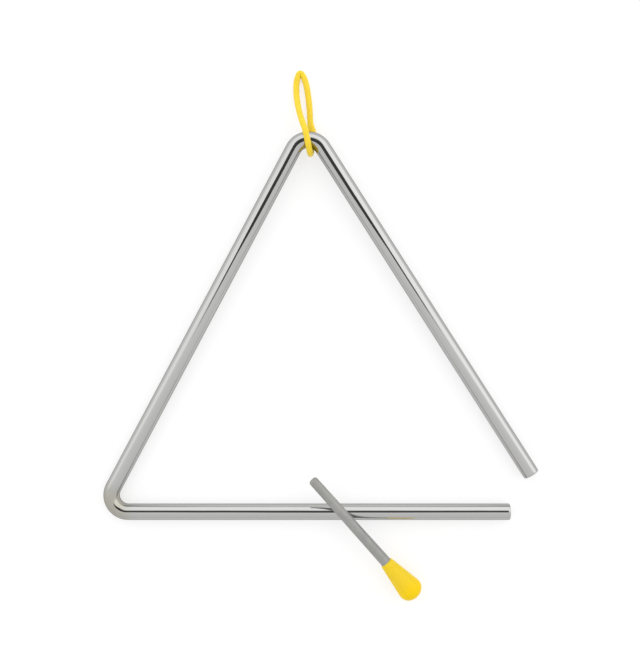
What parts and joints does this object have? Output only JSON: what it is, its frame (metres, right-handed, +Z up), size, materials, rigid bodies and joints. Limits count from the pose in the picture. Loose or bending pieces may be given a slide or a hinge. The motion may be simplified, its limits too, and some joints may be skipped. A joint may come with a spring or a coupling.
{
  "type": "triangle instrument",
  "caption": "Round steel rod bent to a triangle with an open corner, a soft hanging loop on its top bend, and a short beater with a moulded grip lying across its bottom leg.",
  "frame": {"origin": "on the table, under the middle of the box round the triangle and its beater, without the loop", "axes": "+X along the bottom leg towards its free end, +Y from the bottom leg to the top bend, +Z up from the table"},
  "size_m": [0.2144, 0.2617, 0.0152],
  "materials": {
    "chrome_rod": "bright plated steel, polished along the rod",
    "yellow_cord": "smooth soft yellow plastic cord with a slight sheen",
    "satin_steel": "plain satin grey steel",
    "yellow_grip": "soft moulded yellow plastic, half gloss"
  },
  "bodies": {
    "triangle": {"triangle_rod": "chrome_rod"},
    "loop": {"hanging_loop": "yellow_cord"},
    "beater": {"beater_shaft": "satin_steel", "beater_grip": "yellow_grip"}
  },
  "joints": [
    {"name": "loop_swing", "type": "hinge", "parent": "triangle", "child": "loop", "pos_m": [-0.00594, 0.11113, 0.0073], "axis": [1, 0, 0], "range_deg": [0, 180]},
    {"name": "beater_lift", "type": "slide", "parent": "triangle", "child": "beater", "axis": [0, 0, 1], "range_m": [0, 0.12]}
  ]
}
